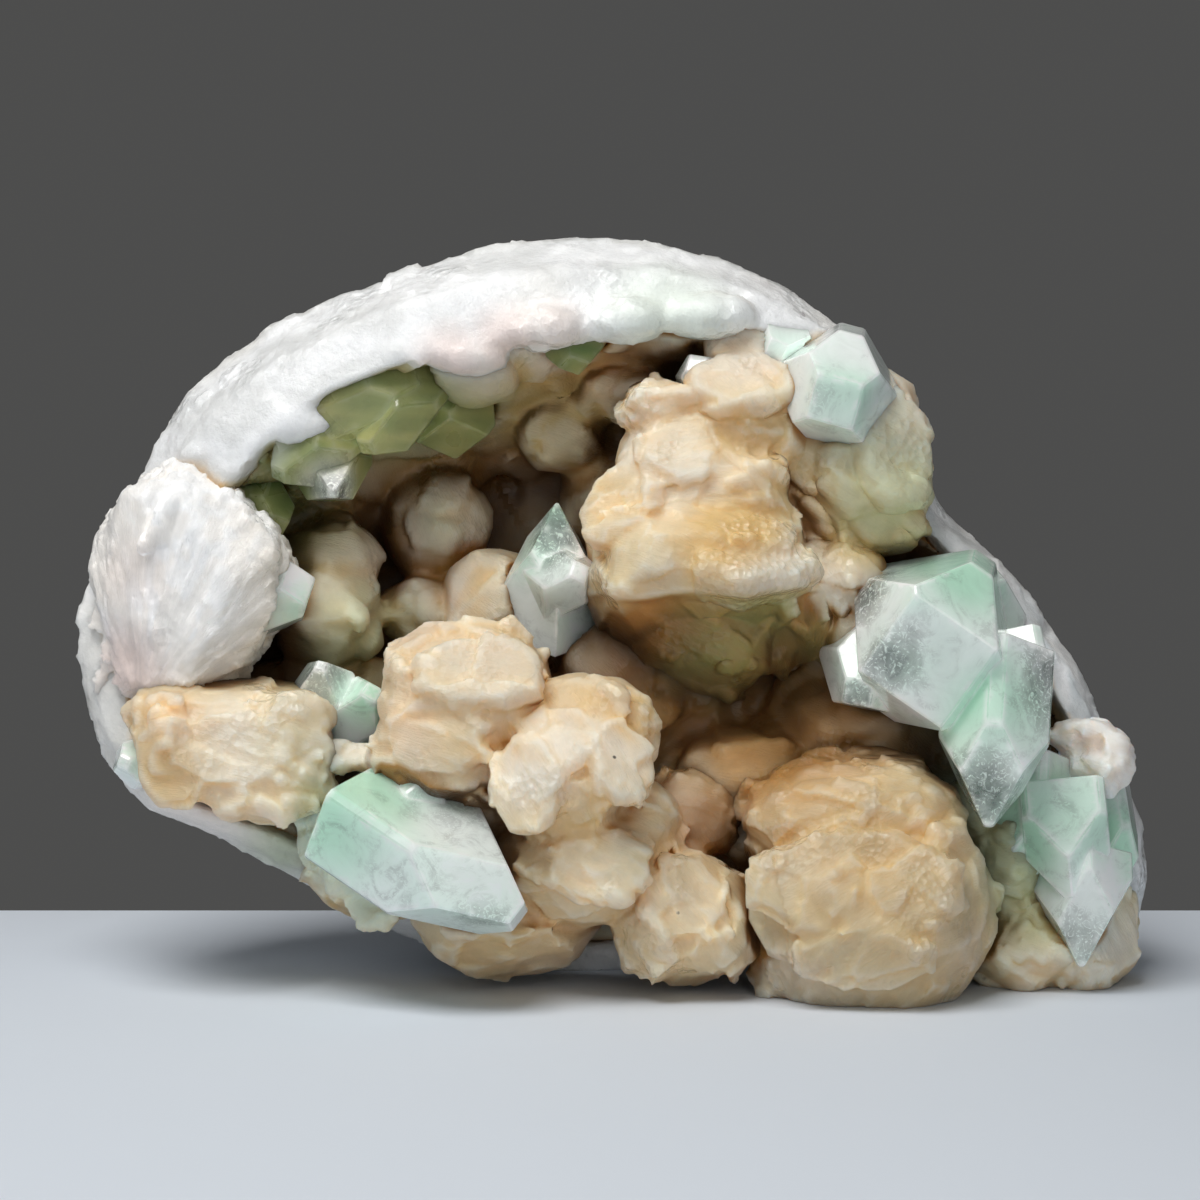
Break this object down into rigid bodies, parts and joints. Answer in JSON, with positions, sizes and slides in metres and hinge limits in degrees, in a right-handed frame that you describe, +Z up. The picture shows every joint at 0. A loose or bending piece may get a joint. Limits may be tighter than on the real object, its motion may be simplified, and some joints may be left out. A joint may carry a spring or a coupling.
{
  "type": "apophyllite cluster",
  "caption": "open half of a vug: a thick white rind around a hollow lined with peach stilbite balls, with clear mint-green apophyllite crystals standing on them",
  "frame": {"origin": "on the resting surface, under the middle of the whole specimen", "axes": "+X to the right seen from the open front, +Y to the back of the rind, +Z up"},
  "size_m": [0.2202, 0.1088, 0.1511],
  "materials": {
    "rind": "broken white rind, cloudy and slightly glossy, with grey patches outside",
    "stilbite": "peach stilbite with a pearly sheen and darker orange hollows",
    "crust": "peach and orange stilbite crust with olive-green patches",
    "white_stilbite": "white cut stilbite sheaf with fine radiating lines",
    "apophyllite": "clear to cloudy mint-green crystal with a glassy lustre"
  },
  "bodies": {
    "root": {"geode_rind": "rind", "stilbite_crust": "crust", "stilbite_upper_mass": "stilbite", "stilbite_lower_mass": "stilbite", "stilbite_ball": "stilbite", "stilbite_block_left": "stilbite", "stilbite_sheaf_left": "white_stilbite", "stilbite_foot_right": "stilbite", "stilbite_knob_right": "white_stilbite", "apophyllite_front_left": "apophyllite", "apophyllite_right": "apophyllite", "apophyllite_centre": "apophyllite", "apophyllite_top_right": "apophyllite", "apophyllite_roof_left": "apophyllite", "apophyllite_roof_right": "apophyllite", "apophyllite_left_upper": "apophyllite", "apophyllite_left_small": "apophyllite", "apophyllite_low_left": "apophyllite", "apophyllite_corner_left": "apophyllite", "apophyllite_upper_small": "apophyllite"}
  },
  "joints": []
}
